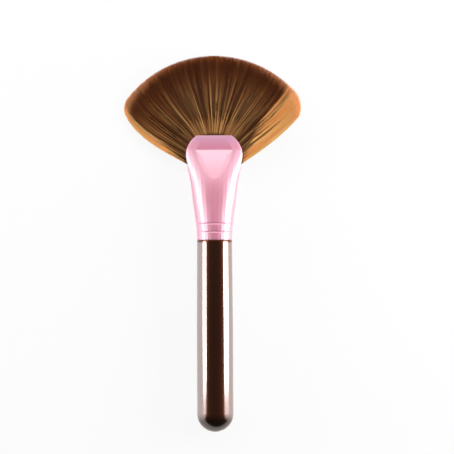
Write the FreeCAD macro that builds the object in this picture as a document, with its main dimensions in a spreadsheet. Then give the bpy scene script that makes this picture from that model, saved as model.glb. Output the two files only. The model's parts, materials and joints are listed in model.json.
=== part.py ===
# Fan makeup brush, lying on a table: a lacquered wooden handle, a pressed aluminium ferrule,
# the resin plug inside it and the fan of hair.
#
# The brush is drawn in its own frame first. Y runs along it from the rounded end of the handle
# to the tips of the hair, X runs across the fan and Z is the fan's normal. Every piece is then
# given the same placement, which rolls the brush until one corner of the fan meets the table,
# because that is how a round handle comes to rest, and puts the origin at the bottom centre of
# the whole brush. All sizes are in millimetres and degrees.

import FreeCAD, Part
import Sketcher
import math
import os

Vector = FreeCAD.Vector

# Each driving size, written once: its name, its value and what it measures.
# Heights are measured up from the foot of the ferrule, drops down from its rim.
DRIVING_SIZES = [
    ("handle_length", 81.7, "rounded end of the handle to its shoulder"),
    ("grip_radius", 7.72, "straight lower part of the handle, and its round end"),
    ("grip_top", 45.0, "where the straight part ends, from the rounded end"),
    ("neck_step", 0.05, "how far the handle's shoulder stands proud of the ferrule"),
    ("neck_chamfer", 0.35, "bevel of the shoulder's edge"),
    ("tenon_gap", 0.15, "between the tenon and the ferrule's foot"),
    ("tenon_chamfer", 1.2, "lead-in at the end of the tenon"),
    ("ferrule_length", 44.4, "foot to rim"),
    ("ferrule_wall", 0.35, "sheet thickness"),
    ("foot_radius", 7.4, "outside of the round foot"),
    ("collar_height", 9.0, "end of the nearly round part, above the foot"),
    ("collar_half_width", 8.1, "across the fan"),
    ("collar_half_depth", 7.35, "through the fan"),
    ("waist_height", 17.5, "half way up the flattening part, above the foot"),
    ("waist_half_width", 9.25, "across the fan"),
    ("waist_half_depth", 6.75, "through the fan"),
    ("press_drop", 18.8, "where the pressed facet begins"),
    ("press_half_width", 10.25, "across the fan"),
    ("press_half_depth", 5.75, "through the fan"),
    ("press_angle", 15.8, "slope of the pressed facet to the brush's length"),
    ("crease_drop", 6.1, "where the facet meets the flat lip"),
    ("crease_half_width", 13.3, "across the fan, before the corners are cut"),
    ("crease_half_depth", 2.72, "through the fan, before pressing"),
    ("rim_half_depth", 2.55, "through the fan at the rim, before pressing"),
    ("lip_half_thickness", 2.15, "outside of the flat lip"),
    ("mouth_half_width", 12.05, "widest part of the mouth"),
    ("mouth_drop", 8.5, "rim to the widest part of the mouth"),
    ("rim_half_width", 7.2, "straight part of the rim"),
    ("slot_margin", 1.7, "bottom of the side slots below the outermost hairs"),
    ("slot_side_gap", 0.5, "between the outermost hairs and the slots' two sides"),
    ("ring_height", 3.5, "middle of the lower rolled groove"),
    ("ring_pitch", 3.5, "from one rolled groove to the next"),
    ("ring_width", 0.6, "each rolled groove, a V"),
    ("ring_depth", 0.15, "each rolled groove"),
    ("tenon_clearance", 1.0, "end of the tenon to the resin"),
    ("resin_gap", 0.1, "between the resin and the sheet"),
    ("resin_step", 0.4, "top of the resin below the pressed facet"),
    ("root_depth", 3.4, "how deep the roots sit in the resin"),
    ("socket_end_wall", 1.7, "resin and play round the roots, across the fan"),
    ("socket_face_wall", 0.95, "resin and play round the roots, through the fan"),
    ("hair_gap", 0.25, "between the hair and what holds it"),
    ("fan_radius", 46.8, "radius of the trimmed tips"),
    ("fan_centre_drop", 12.9, "rim to the centre of that radius"),
    ("fan_half_angle", 60.0, "centre line to the outermost tips"),
    ("left_corner_angle", 52.0, "centre line to where the left corner begins to round"),
    ("right_corner_angle", 48.0, "centre line to where the right corner begins to round"),
    ("left_corner_cut", 3.2, "how much shorter the outermost hairs are, left"),
    ("right_corner_cut", 4.9, "how much shorter the outermost hairs are, right"),
    ("leave_inset", 0.45, "mouth's widest part to where the outermost hairs leave the slots"),
    ("leave_drop", 12.1, "rim to where the outermost hairs leave the slots"),
    ("left_leave_angle", 61.0, "outermost hairs to the centre line at the slot, left"),
    ("right_leave_angle", 57.0, "outermost hairs to the centre line at the slot, right"),
    ("left_tip_angle", 25.0, "outermost hairs to the centre line at their tips, left"),
    ("right_tip_angle", 40.0, "outermost hairs to the centre line at their tips, right"),
    ("mouth_margin", 0.4, "rim's corners to where the hair is free of the lips"),
    ("belly_rise", 9.6, "from there to where the hair is thickest"),
    ("belly_half_thickness", 2.6, "fan at its thickest"),
    ("tip_half_thickness", 0.95, "fan at its tips"),
    ("edge_half_thickness", 0.6, "fan along its two side edges"),
    ("lock_relief", 0.6, "ridge to valley of the locks at their tips"),
    ("valley_cut", 0.35, "how much shorter the hairs between two locks are"),
    ("lock_count", 19, "locks across the fan, an odd number"),
]

doc = FreeCAD.newDocument("fan_makeup_brush")


class Size:
    """A size as its number and as the spreadsheet's expression for it."""

    def __init__(self, value, text):
        self.value = value
        self.text = text

    def _join(self, other, sign, value):
        text = other.text if isinstance(other, Size) else str(other)
        return Size(value, f"({self.text} {sign} {text})")

    def __add__(self, other):
        return self._join(other, "+", self.value + number(other))

    def __sub__(self, other):
        return self._join(other, "-", self.value - number(other))

    def __mul__(self, other):
        return self._join(other, "*", self.value * number(other))

    def __truediv__(self, other):
        return self._join(other, "/", self.value / number(other))

    def __neg__(self):
        return Size(-self.value, f"(0 - {self.text})")


def number(size):
    """The plain number of a Size, or of a number."""
    return size.value if isinstance(size, Size) else float(size)


def cotangent(angle):
    """The cotangent of an angle in degrees, as a Size."""
    value = 1 / math.tan(math.radians(angle.value))
    return Size(value, f"(1 / tan({angle.text} * 1 deg))")


def make_sheet():
    """The spreadsheet of driving sizes, and each one as a Size."""
    sheet = doc.addObject("Spreadsheet::Sheet", "Sizes")
    for row, (name, value, meaning) in enumerate(DRIVING_SIZES, start=1):
        sheet.set(f"A{row}", name)
        sheet.set(f"B{row}", str(value))
        sheet.setAlias(f"B{row}", name)
        sheet.set(f"C{row}", meaning)
    doc.recompute()
    return {name: Size(float(sheet.get(name)), f"Sizes.{name}") for name, _, _ in DRIVING_SIZES}


size = make_sheet()

# Heights along the brush's own Y, and widths, that several pieces share
foot_y = size["handle_length"]
rim_y = foot_y + size["ferrule_length"]
collar_y = foot_y + size["collar_height"]
waist_y = foot_y + size["waist_height"]
press_y = rim_y - size["press_drop"]
crease_y = rim_y - size["crease_drop"]
mouth_y = rim_y - size["mouth_drop"]
resin_bottom_y = collar_y + size["tenon_clearance"]
resin_top_y = press_y - size["resin_step"]
root_y = resin_top_y - size["root_depth"]
fan_centre_y = rim_y - size["fan_centre_drop"]
neck_radius = size["foot_radius"] + size["neck_step"]
tenon_radius = size["foot_radius"] - size["ferrule_wall"] - size["tenon_gap"]
root_inset = size["ferrule_wall"] + size["hair_gap"]
root_half_width = size["press_half_width"] - root_inset - size["socket_end_wall"]
root_half_depth = size["press_half_depth"] - root_inset - size["socket_face_wall"]
leave_half_width = size["mouth_half_width"] - size["leave_inset"]
slot_half_gap = size["edge_half_thickness"] + size["slot_side_gap"]

# How far a cutting or trimming solid runs past what it trims
OVERRUN = 1.0
# Lines along the tube that its oval sections go through. A strip between two is flat to 0.07 mm.
OVAL_LINES = 32
# How far the round handle is turned in the ferrule, in degrees. Where the grip is cut into even
# facets, it then lies on the table on one of them and not on an edge between two.
HANDLE_TURN = 1.8
CENTRE_LINE = Size(0.0, "0")
SIDEWAYS = FreeCAD.Rotation(Vector(1, 1, 1), 120)  # a sketch's x and y then run along Y and Z


def bind(item, **sizes):
    """Ties properties of an object to the sheet. A double underscore stands for a dot."""
    for path, wanted in sizes.items():
        item.setExpression(path.replace("__", "."), wanted.text)


def pin_coordinate(sketch, kind, geometry, corner, wanted):
    """Fixes one coordinate of a sketch's point, DistanceX or DistanceY, at a Size."""
    index = sketch.addConstraint(Sketcher.Constraint(kind, geometry, corner, wanted.value))
    sketch.setExpression(f"Constraints[{index}]", wanted.text)


def draw_outline(sketch, corners, arc_centres=None):
    """A closed outline through corners, each an (x, y) pair of Sizes.

    arc_centres gives the centre of the anticlockwise arc that starts at a corner, by the
    corner's place in the list. Every other side is straight.
    """
    arc_centres = arc_centres or {}
    count = len(corners)
    points = [Vector(x.value, y.value, 0) for x, y in corners]
    begin_end, finish_end, centre_end = 1, 2, 3
    for side in range(count):
        begin = points[side]
        finish = points[(side + 1) % count]
        if side in arc_centres:
            centre = Vector(arc_centres[side][0].value, arc_centres[side][1].value, 0)
            circle = Part.Circle(centre, Vector(0, 0, 1), (begin - centre).Length)
            angles = [math.atan2(p.y - centre.y, p.x - centre.x) for p in (begin, finish)]
            sketch.addGeometry(Part.ArcOfCircle(circle, angles[0], angles[1]), False)
        else:
            sketch.addGeometry(Part.LineSegment(begin, finish), False)
    for side in range(count):
        following = (side + 1) % count
        joined = ("Coincident", side, finish_end, following, begin_end)
        sketch.addConstraint(Sketcher.Constraint(*joined))
        if side in arc_centres:
            pin_coordinate(sketch, "DistanceX", side, centre_end, arc_centres[side][0])
            pin_coordinate(sketch, "DistanceY", side, centre_end, arc_centres[side][1])
        if (side - 1) % count not in arc_centres:
            pin_coordinate(sketch, "DistanceX", side, begin_end, corners[side][0])
            pin_coordinate(sketch, "DistanceY", side, begin_end, corners[side][1])
            continue
        # The arc before this corner already holds it on a circle, so one coordinate places it:
        # the one along which the circle runs there.
        centre_x, centre_y = arc_centres[(side - 1) % count]
        sideways = abs(points[side].x - centre_x.value)
        upright = abs(points[side].y - centre_y.value)
        if sideways > upright:
            pin_coordinate(sketch, "DistanceY", side, begin_end, corners[side][1])
        else:
            pin_coordinate(sketch, "DistanceX", side, begin_end, corners[side][0])


def body_plane(body, role):
    """One of a body's own origin planes, by its role."""
    return next(plane for plane in body.Origin.OriginFeatures if plane.Role == role)


def make_handle():
    """Turned grip with a hemispherical end, a slight taper above it and a reduced tenon."""
    body = doc.addObject("PartDesign::Body", "Handle")
    profile = body.newObject("Sketcher::SketchObject", "HandleProfile")
    profile.AttachmentSupport = [(body_plane(body, "XY_Plane"), "")]
    profile.MapMode = "FlatFace"
    turn = FreeCAD.Rotation(Vector(0, 1, 0), HANDLE_TURN)
    profile.AttachmentOffset = FreeCAD.Placement(Vector(0, 0, 0), turn)
    corners = [
        (CENTRE_LINE, CENTRE_LINE),
        (size["grip_radius"], size["grip_radius"]),
        (size["grip_radius"], size["grip_top"]),
        (neck_radius, foot_y),
        (tenon_radius, foot_y),
        (tenon_radius, collar_y - size["tenon_chamfer"]),
        (tenon_radius - size["tenon_chamfer"], collar_y),
        (CENTRE_LINE, collar_y),
    ]
    draw_outline(profile, corners, {0: (CENTRE_LINE, size["grip_radius"])})
    turned = body.newObject("PartDesign::Revolution", "HandleTurned")
    turned.Profile = profile
    turned.ReferenceAxis = (profile, ["V_Axis"])
    turned.Angle = 360
    doc.recompute()
    shoulder = find_ring(turned.Shape, neck_radius.value, foot_y.value)
    bevelled = body.newObject("PartDesign::Chamfer", "ShoulderBevel")
    bevelled.Base = (turned, [shoulder])
    bind(bevelled, Size=size["neck_chamfer"])
    return body


def find_ring(shape, radius, y):
    """The name of a shape's circular edge of that radius at that height."""
    for index, edge in enumerate(shape.Edges, start=1):
        if edge.Degenerated or edge.Curve.TypeId != "Part::GeomCircle":
            continue
        if abs(edge.Curve.Radius - radius) < 0.01 and abs(edge.Curve.Center.y - y) < 0.01:
            return f"Edge{index}"
    raise RuntimeError(f"no ring of radius {radius} at {y}")


def curve_edge(points):
    """A smooth edge through points."""
    curve = Part.BSplineCurve()
    curve.interpolate(points)
    return curve.toShape()


def oval_solid(name, runs):
    """A closed solid with oval sections, of one or more runs that each start where the last ends.

    A run is a list of stations (half width, half depth, height), joined by smooth lines that run
    along the tube, with a narrow strip between each line and the next.
    """
    turns = [2 * math.pi * line / OVAL_LINES for line in range(OVAL_LINES)]

    def ring(half_width, half_depth, height):
        return [Vector(half_width.value * math.cos(turn), height.value,
                       half_depth.value * math.sin(turn)) for turn in turns]

    faces = []
    for stations in runs:
        rings = [ring(*station) for station in stations]
        edges = [curve_edge(list(points)) for points in zip(*rings)]
        faces += [Part.makeRuledSurface(*pair) for pair in zip(edges, edges[1:] + edges[:1])]
    for station in (runs[0][0], runs[-1][-1]):
        corners = ring(*station)
        faces.append(Part.Face(Part.makePolygon(corners + corners[:1])))
    return closed_feature(name, faces)


def closed_feature(name, faces):
    """One solid inside faces that meet edge to edge, as an object."""
    skin = Part.makeCompound(faces)
    skin.sewShape()
    solid = Part.Solid(skin.Shells[0])
    if solid.Volume < 0:
        solid.reverse()
    feature = doc.addObject("Part::Feature", name)
    feature.Shape = solid
    return feature


def tube_form(name, inset):
    """The solid inside the tube's surface when it is drawn in by inset, before it is pressed.

    It runs past the foot and the rim, where the arch block trims it.
    """
    stations = [
        (size["foot_radius"], size["foot_radius"], foot_y - OVERRUN),
        (size["foot_radius"], size["foot_radius"], foot_y),
        (size["collar_half_width"], size["collar_half_depth"], collar_y),
        (size["waist_half_width"], size["waist_half_depth"], waist_y),
        (size["press_half_width"], size["press_half_depth"], press_y),
        (size["crease_half_width"], size["crease_half_depth"], crease_y),
        (size["crease_half_width"], size["rim_half_depth"], rim_y + OVERRUN),
    ]
    return oval_solid(name, [[(width - inset, depth - inset, y) for width, depth, y in stations]])


def extrude_sketch(name, rotation, corners, arc_centres, width):
    """A closed outline, turned by rotation and extruded width to both sides together."""
    sketch = doc.addObject("Sketcher::SketchObject", name + "Outline")
    sketch.Placement = FreeCAD.Placement(Vector(0, 0, 0), rotation)
    draw_outline(sketch, corners, arc_centres)
    block = doc.addObject("Part::Extrusion", name)
    block.Base = sketch
    block.DirMode = "Normal"
    block.Symmetric = True
    block.Solid = True
    bind(block, LengthFwd=width)
    return block


def press_block(name, inset):
    """What the flat press leaves of the tube, seen from the side, drawn in by inset."""
    reach = size["foot_radius"] + OVERRUN
    lip = size["lip_half_thickness"] - inset
    facet_y = crease_y - (reach - lip) * cotangent(size["press_angle"])
    low_y = foot_y - OVERRUN
    high_y = rim_y + OVERRUN
    near_side = [(low_y, -reach), (facet_y, -reach), (crease_y, -lip), (high_y, -lip)]
    far_side = [(y, -z) for y, z in reversed(near_side)]
    width = (size["crease_half_width"] + OVERRUN) * 2
    return extrude_sketch(name, SIDEWAYS, near_side + far_side, {}, width)


def arch_block():
    """What the trimming die leaves of the tube, seen from the front: a mouth with round corners."""
    half_width = size["mouth_half_width"]
    flat = size["rim_half_width"]
    drop = size["mouth_drop"]
    run = half_width - flat
    # The circle is upright where the mouth is widest and goes through the end of the flat rim.
    corner_radius = (run * run + drop * drop) / (run * 2)
    beyond = size["crease_half_width"] + OVERRUN
    corners = [
        (-beyond, foot_y),
        (beyond, foot_y),
        (beyond, mouth_y),
        (half_width, mouth_y),
        (flat, rim_y),
        (-flat, rim_y),
        (-half_width, mouth_y),
        (-beyond, mouth_y),
    ]
    arc_centres = {3: (half_width - corner_radius, mouth_y), 5: (corner_radius - half_width, mouth_y)}
    depth = (size["foot_radius"] + OVERRUN) * 2
    return extrude_sketch("MouthArch", FreeCAD.Rotation(), corners, arc_centres, depth)


def slot_block():
    """The slot that opens both sides of the tube for the outer hairs, with a round bottom."""
    half_gap = slot_half_gap
    round_y = rim_y - size["leave_drop"] - size["slot_margin"] + half_gap
    high_y = rim_y + OVERRUN
    corners = [(high_y, half_gap), (round_y, half_gap), (round_y, -half_gap), (high_y, -half_gap)]
    width = (size["crease_half_width"] + OVERRUN) * 2
    return extrude_sketch("SideSlot", SIDEWAYS, corners, {1: (round_y, CENTRE_LINE)}, width)


def combine(kind, name, base, tool):
    """A boolean of two objects: Part::Cut or Part::Common."""
    result = doc.addObject(kind, name)
    result.Base = base
    result.Tool = tool
    return result


def slab(name, low_y, thickness):
    """A slab square to the brush, from low_y up, wider than any piece."""
    block = doc.addObject("Part::Box", name)
    reach = size["crease_half_width"] + OVERRUN
    bind(block, Length=reach * 2, Width=thickness, Height=reach * 2)
    bind(block, Placement__Base__x=-reach, Placement__Base__y=low_y, Placement__Base__z=-reach)
    return block


def ring_groove(place, height):
    """What a rolling wheel takes off the tube: a V all round at that height above the foot."""
    low, mid, top = [], [], []
    for station, step, rise in ((low, -size["ring_width"], 1), (mid, CENTRE_LINE, -1),
                                (top, size["ring_width"], 1)):
        share = (height + step) / size["collar_height"]
        for end in ("collar_half_width", "collar_half_depth"):
            plain = size["foot_radius"] + (size[end] - size["foot_radius"]) * share
            station.append(plain + size["ring_depth"] * rise)
        station.append(foot_y + height + step)
    band = slab(place + "RingBand", foot_y + height - size["ring_width"], size["ring_width"] * 2)
    waist = oval_solid(place + "RingWaist", [[low, mid], [mid, top]])
    return combine("Part::Cut", place + "RingGroove", band, waist)


def make_ferrule():
    """The tube: its outer form, pressed and arched, less the rings, the hollow and the slots."""
    die = combine("Part::Common", "Die", press_block("OuterPress", CENTRE_LINE), arch_block())
    form = combine("Part::Common", "Pressed", tube_form("TubeOuter", CENTRE_LINE), die)
    for count, place in enumerate(("Lower", "Upper")):
        height = size["ring_height"] + size["ring_pitch"] * count
        form = combine("Part::Cut", place + "Ring", form, ring_groove(place, height))
    wall = size["ferrule_wall"]
    hollow = combine("Part::Common", "Hollow", tube_form("TubeInner", wall),
                     press_block("InnerPress", wall))
    shell = combine("Part::Cut", "Shell", form, hollow)
    return combine("Part::Cut", "Ferrule", shell, slot_block())


def make_resin():
    """Resin that fills the tube between the tenon and the pressed facet, round the roots."""
    form = tube_form("ResinForm", size["ferrule_wall"] + size["resin_gap"])
    layer = slab("ResinLayer", resin_bottom_y, resin_top_y - resin_bottom_y)
    filled = combine("Part::Common", "Filled", form, layer)
    half_width = root_half_width + size["hair_gap"]
    half_depth = root_half_depth + size["hair_gap"]
    floor = (half_width, half_depth, root_y - size["hair_gap"])
    socket = oval_solid("Socket", [[floor, (half_width, half_depth, resin_top_y + OVERRUN)]])
    return combine("Part::Cut", "ResinPlug", filled, socket)


def smooth(fraction):
    """An even rise from 0 to 1 with level ends."""
    fraction = min(max(fraction, 0.0), 1.0)
    return fraction * fraction * (3 - 2 * fraction)


def bezier(begin, begin_angle, finish, finish_angle, fraction):
    """A point on a curve between two points, whose ends lean from Y by the angles given."""
    pull = (finish - begin).Length / 3
    leans = [math.radians(angle) for angle in (begin_angle, finish_angle)]
    begin_handle = begin + Vector(math.sin(leans[0]), math.cos(leans[0]), 0) * pull
    finish_handle = finish - Vector(math.sin(leans[1]), math.cos(leans[1]), 0) * pull
    rest = 1 - fraction
    return (begin * rest ** 3 + begin_handle * (3 * rest * rest * fraction)
            + finish_handle * (3 * rest * fraction * fraction) + finish * fraction ** 3)


class Fan:
    """The hair's lines and thickness, worked out from the sheet."""

    INSIDE_STATIONS = 4
    FREE_STATIONS = 6
    LEAVE_CURVE = 3.0  # how squarely the line along which the hairs part follows the mouth
    TIP_THINNING = 1.4  # over 1, the hair keeps its thickness longer before it thins

    def __init__(self):
        for name, wanted in size.items():
            setattr(self, name, wanted.value)
        self.centre = Vector(0, fan_centre_y.value, 0)
        self.root_half_depth = root_half_depth.value
        self.lip_room = self.lip_half_thickness - self.ferrule_wall - self.hair_gap
        self.mouth_reach = math.hypot(self.rim_half_width, self.fan_centre_drop) + self.mouth_margin
        self.belly_reach = self.mouth_reach + self.belly_rise

    def across(self):
        """How far out each line of hair stands, from -1 to 1: valleys and ridges in turn."""
        steps = 2 * int(round(self.lock_count))
        return [2 * step / steps - 1 for step in range(steps + 1)]

    def line(self, place, is_ridge):
        """Points (x, y, half thickness) along one line of hair, from root to tip."""
        side = "left" if place < 0 else "right"
        leave_angle = abs(place) * getattr(self, side + "_leave_angle")
        tip_lean = abs(place) * getattr(self, side + "_tip_angle")
        corner_cut = getattr(self, side + "_corner_cut")
        corner_angle = getattr(self, side + "_corner_angle")
        tip_angle = abs(place) * self.fan_half_angle
        past_corner = max(0.0, tip_angle - corner_angle) / (self.fan_half_angle - corner_angle)
        reach = self.fan_radius - corner_cut * past_corner ** 2
        if not is_ridge:
            reach -= self.valley_cut
        root = Vector(abs(place) * root_half_width.value, root_y.value, 0)
        bound = Vector(root.x, resin_top_y.value, 0)
        leave_y = rim_y.value - self.leave_drop * abs(place) ** self.LEAVE_CURVE
        leave = Vector(abs(place) * leave_half_width.value, leave_y, 0)
        tip_turn = math.radians(tip_angle)
        tip = self.centre + Vector(math.sin(tip_turn), math.cos(tip_turn), 0) * reach
        points = [root]
        for step in range(self.INSIDE_STATIONS):
            points.append(bezier(bound, 0, leave, leave_angle, step / self.INSIDE_STATIONS))
        for step in range(self.FREE_STATIONS + 1):
            points.append(bezier(leave, leave_angle, tip, tip_lean, step / self.FREE_STATIONS))
        hand = -1 if place < 0 else 1
        return [(hand * p.x, p.y, self.half_thickness(place, p, is_ridge)) for p in points]

    def half_thickness(self, place, point, is_ridge):
        """Half the fan's thickness at a point of one of its lines."""
        middle = self.middle_half_thickness(point)
        share = 1 - place ** 2
        reach = (point - self.centre).Length if point.y > self.centre.y else 0.0
        free = (reach - self.mouth_reach) / (self.fan_radius - self.mouth_reach)
        relief = self.lock_relief / 2 * smooth(free * 2)
        plain = self.edge_half_thickness + (middle - self.edge_half_thickness) * share
        return plain + (relief if is_ridge else -relief)

    def middle_half_thickness(self, point):
        """Half the thickness that the middle of the bundle would have there."""
        reach = (point - self.centre).Length
        if point.y < self.centre.y or reach < self.mouth_reach:
            below = max(0.0, crease_y.value - point.y)
            room = self.lip_room + below * math.tan(math.radians(self.press_angle))
            return min(room, self.root_half_depth)
        if reach < self.belly_reach:
            rise = smooth((reach - self.mouth_reach) / (self.belly_reach - self.mouth_reach))
            return self.lip_room + (self.belly_half_thickness - self.lip_room) * rise
        fall = (reach - self.belly_reach) / (self.fan_radius - self.belly_reach)
        drop = self.belly_half_thickness - self.tip_half_thickness
        return self.belly_half_thickness - drop * min(fall, 1.0) ** self.TIP_THINNING


def make_hair():
    """One closed solid: a ruled strip between each two lines of hair, on the front and the back."""
    fan = Fan()
    lines = [fan.line(place, count % 2 == 1) for count, place in enumerate(fan.across())]
    front = [[Vector(x, y, depth) for x, y, depth in line] for line in lines]
    back = [[Vector(x, y, -depth) for x, y, depth in line] for line in lines]
    faces = []
    for face_lines in (front, back):
        edges = [curve_edge(points) for points in face_lines]
        faces += [Part.makeRuledSurface(*pair) for pair in zip(edges, edges[1:])]
    for outermost in (0, -1):
        sides = curve_edge(front[outermost]), curve_edge(back[outermost])
        faces.append(Part.makeRuledSurface(*sides))
    for count in range(len(lines) - 1):
        tips = [front[count][-1], front[count + 1][-1], back[count + 1][-1], back[count][-1]]
        faces.append(Part.Face(Part.makePolygon(tips + tips[:1])))
    roots = [points[0] for points in front] + [points[0] for points in reversed(back)]
    faces.append(Part.Face(Part.makePolygon(roots + roots[:1])))
    hair = closed_feature("HairFan", faces)
    tips = [Vector(x, y, depth) for x, y, depth in (line[-1] for line in lines)]
    return hair, tips


def rest_angle(tips):
    """How far the brush rolls to its left until the first tip meets the table."""
    angles = []
    for tip in tips:
        if tip.x > 0:
            continue
        distance = math.hypot(tip.x, tip.z)
        if distance > size["grip_radius"].value:
            lean = math.asin(size["grip_radius"].value / distance) - math.atan2(tip.z, -tip.x)
            angles.append(math.degrees(lean))
    return min(angles)


def rest_placement(pieces, tips):
    """Rolls the brush to its rest and puts the origin at the bottom centre of the whole brush."""
    roll = FreeCAD.Rotation(Vector(0, 1, 0), -rest_angle(tips))
    box = FreeCAD.BoundBox()
    for piece in pieces:
        rolled = piece.Shape.copy()
        rolled.Placement = FreeCAD.Placement(Vector(0, 0, 0), roll).multiply(rolled.Placement)
        box.add(rolled.optimalBoundingBox(False))
    return FreeCAD.Placement(Vector(-box.Center.x, -box.Center.y, -box.ZMin), roll)


def check_document():
    """Stops on an object that failed to build."""
    for item in doc.Objects:
        if {"Invalid", "Error"} & set(item.State):
            raise RuntimeError(f"{item.Name} failed: {item.State}")


def write_parts(pieces):
    """Writes each piece as one STEP file, named after its node."""
    os.makedirs("parts", exist_ok=True)
    for piece in pieces:
        if piece.Shape.isNull() or not piece.Shape.isValid() or len(piece.Shape.Solids) != 1:
            raise RuntimeError(f"{piece.Label} isn't one valid solid")
        piece.Shape.exportStep(f"parts/{piece.Label}.step")
        print(f"{piece.Label}: {piece.Shape.Volume:.1f} mm3")


def main():
    """Builds every piece, lays the brush down and writes the pieces."""
    hair, tips = make_hair()
    pieces = {"handle": make_handle(), "ferrule": make_ferrule(), "resin_plug": make_resin(),
              "hair_fan": hair}
    doc.recompute()
    check_document()
    placement = rest_placement(pieces.values(), tips)
    for label, piece in pieces.items():
        piece.Label = label
        piece.Placement = placement
    doc.recompute()
    check_document()
    write_parts(pieces.values())


main()
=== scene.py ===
# A fan makeup brush, lying on a pale table and seen from straight above the fan: a dark lacquered
# handle, a satin pink metal ferrule and a fan of brown hair. The handle, the ferrule and the resin
# keep the frame's shapes and get their finish here. The hair is laid strand by strand round a
# dense core, along the same lines as the solid that it stands for.

import json
import math
import bpy
import numpy as np
from mathutils import Matrix, Vector


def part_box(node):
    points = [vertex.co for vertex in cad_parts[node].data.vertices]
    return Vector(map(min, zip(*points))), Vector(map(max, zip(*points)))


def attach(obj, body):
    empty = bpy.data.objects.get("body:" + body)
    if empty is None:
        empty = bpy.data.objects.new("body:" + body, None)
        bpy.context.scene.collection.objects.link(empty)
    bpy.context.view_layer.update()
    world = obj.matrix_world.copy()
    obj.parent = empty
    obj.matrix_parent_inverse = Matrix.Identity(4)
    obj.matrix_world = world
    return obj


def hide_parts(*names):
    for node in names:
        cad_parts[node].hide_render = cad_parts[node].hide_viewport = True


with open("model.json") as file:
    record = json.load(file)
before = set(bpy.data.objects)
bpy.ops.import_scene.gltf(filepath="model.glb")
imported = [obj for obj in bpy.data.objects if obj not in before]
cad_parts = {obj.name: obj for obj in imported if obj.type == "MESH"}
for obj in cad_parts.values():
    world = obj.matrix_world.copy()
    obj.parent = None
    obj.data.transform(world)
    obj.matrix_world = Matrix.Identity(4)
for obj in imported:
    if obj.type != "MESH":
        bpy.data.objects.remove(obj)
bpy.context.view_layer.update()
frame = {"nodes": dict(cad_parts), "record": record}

MM = 0.001
RANDOM = np.random.default_rng(7)

# The photograph's frame
PHOTO_PIXELS = 454
PIXEL = 0.4255 * MM  # one pixel of the photograph, at the brush
AXIS_PIXEL = 214.5  # where the brush's centre line crosses the photograph's middle row
HANDLE_END_PIXEL = 431.8  # the lowest row of the handle
PHOTO_LEAN = math.radians(0.25)  # the brush leans this much, its foot to the right
CAMERA_DISTANCE = 1.6
CAMERA_NEAR = 0.05
CAMERA_FAR = 20.0
SENSOR = 36.0  # in millimetres, as lenses are

# The fan, measured from the ferrule's rim and the brush's centre line
ROOT_HALF_WIDTH = 7.95 * MM
ROOT_HALF_DEPTH = 4.0 * MM
ROOT_DROP = 19.2 * MM  # how far below the rim the lines of hair begin
LEAVE_HALF_WIDTH = 11.6 * MM  # where the outermost hairs leave the ferrule
LEAVE_DROP = 12.1 * MM
FAN_CENTRE_DROP = 12.9 * MM  # the centre of the circle that the tips lie on
FAN_HALF_ANGLE = math.radians(60.0)
LIP_HALF_THICKNESS = 1.5 * MM
CREASE_DROP = 6.1 * MM  # where the ferrule's lip ends and its pressed facet begins
FACET_SLOPE = math.tan(math.radians(15.8))
MOUTH_REACH = 15.2 * MM  # a reach is measured from the centre of the fan's circle
BELLY_REACH = 24.8 * MM
BELLY_HALF_THICKNESS = 2.6 * MM
TIP_HALF_THICKNESS = 0.95 * MM
EDGE_HALF_THICKNESS = 0.6 * MM
TIP_FALL_POWER = 1.4  # how the fan thins from its belly to its tips

# The two sides: the lean of the outermost hairs where they leave and at their tips, in degrees,
# how far out the corner begins, as a share of the half, and how much the corner is cut back
LEFT = {"leave": 61.0, "tip": 25.0, "corner": 52.0 / 60.0, "cut": 3.2 * MM}
RIGHT = {"leave": 57.0, "tip": 40.0, "corner": 48.0 / 60.0, "cut": 4.9 * MM}

# Where the hair parts: how far out, and how wide the parting is, as shares of the fan's half
PARTINGS = ((-0.80, 0.022), (-0.69, 0.034), (-0.57, 0.026), (-0.44, 0.030), (-0.27, 0.020),
            (0.13, 0.016), (0.31, 0.020), (0.47, 0.026), (0.64, 0.042), (0.78, 0.020))


def linear(red, green, blue):
    """A colour given on a scale of 0 to 255, as linear light."""
    return [((channel / 255 + 0.055) / 1.055) ** 2.4 if channel > 10 else channel / 3295
            for channel in (red, green, blue)] + [1.0]


class Brush:
    """The brush's own frame: across the fan, along the brush and out of its front face."""

    def __init__(self):
        grip = next(mount for mount in frame["record"]["mounts"] if mount["name"] == "grip")
        self.axis = Vector(grip["pos_m"])
        self.foot_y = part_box("ferrule")[0].y
        self.rim_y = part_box("ferrule")[1].y
        self.end_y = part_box("handle")[0].y
        self.fan_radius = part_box("hair_fan")[1].y - self.rim_y + FAN_CENTRE_DROP
        roll = self.roll()
        self.across = Vector((math.cos(roll), 0, math.sin(roll)))
        self.normal = Vector((-math.sin(roll), 0, math.cos(roll)))

    @staticmethod
    def roll():
        """How far the fan is rolled about the brush's length, from the spread of its solid."""
        vertices = frame["nodes"]["hair_fan"].data.vertices
        spots = np.array([vertex.co for vertex in vertices])[:, (0, 2)]
        spots = spots - spots.mean(0)
        across = np.linalg.eigh(spots.T @ spots)[1][:, 1]
        return math.atan(across[1] / across[0])

    def point(self, x, y, z):
        """A point across, above the rim and out of the front face, in the frame's own axes."""
        spot = self.axis + self.across * x + self.normal * z
        spot.y = self.rim_y + y
        return spot

    def points(self, x, y, z):
        """The same for whole arrays."""
        across = np.array(self.across)
        normal = np.array(self.normal)
        spots = x[..., None] * across + z[..., None] * normal + np.array(self.axis)
        spots[..., 1] = self.rim_y + y
        return spots


brush = Brush()


# Lines of hair

def smooth(fraction):
    """An even rise from 0 to 1 with level ends, for whole arrays."""
    fraction = np.clip(fraction, 0.0, 1.0)
    return fraction * fraction * (3 - 2 * fraction)


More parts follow.
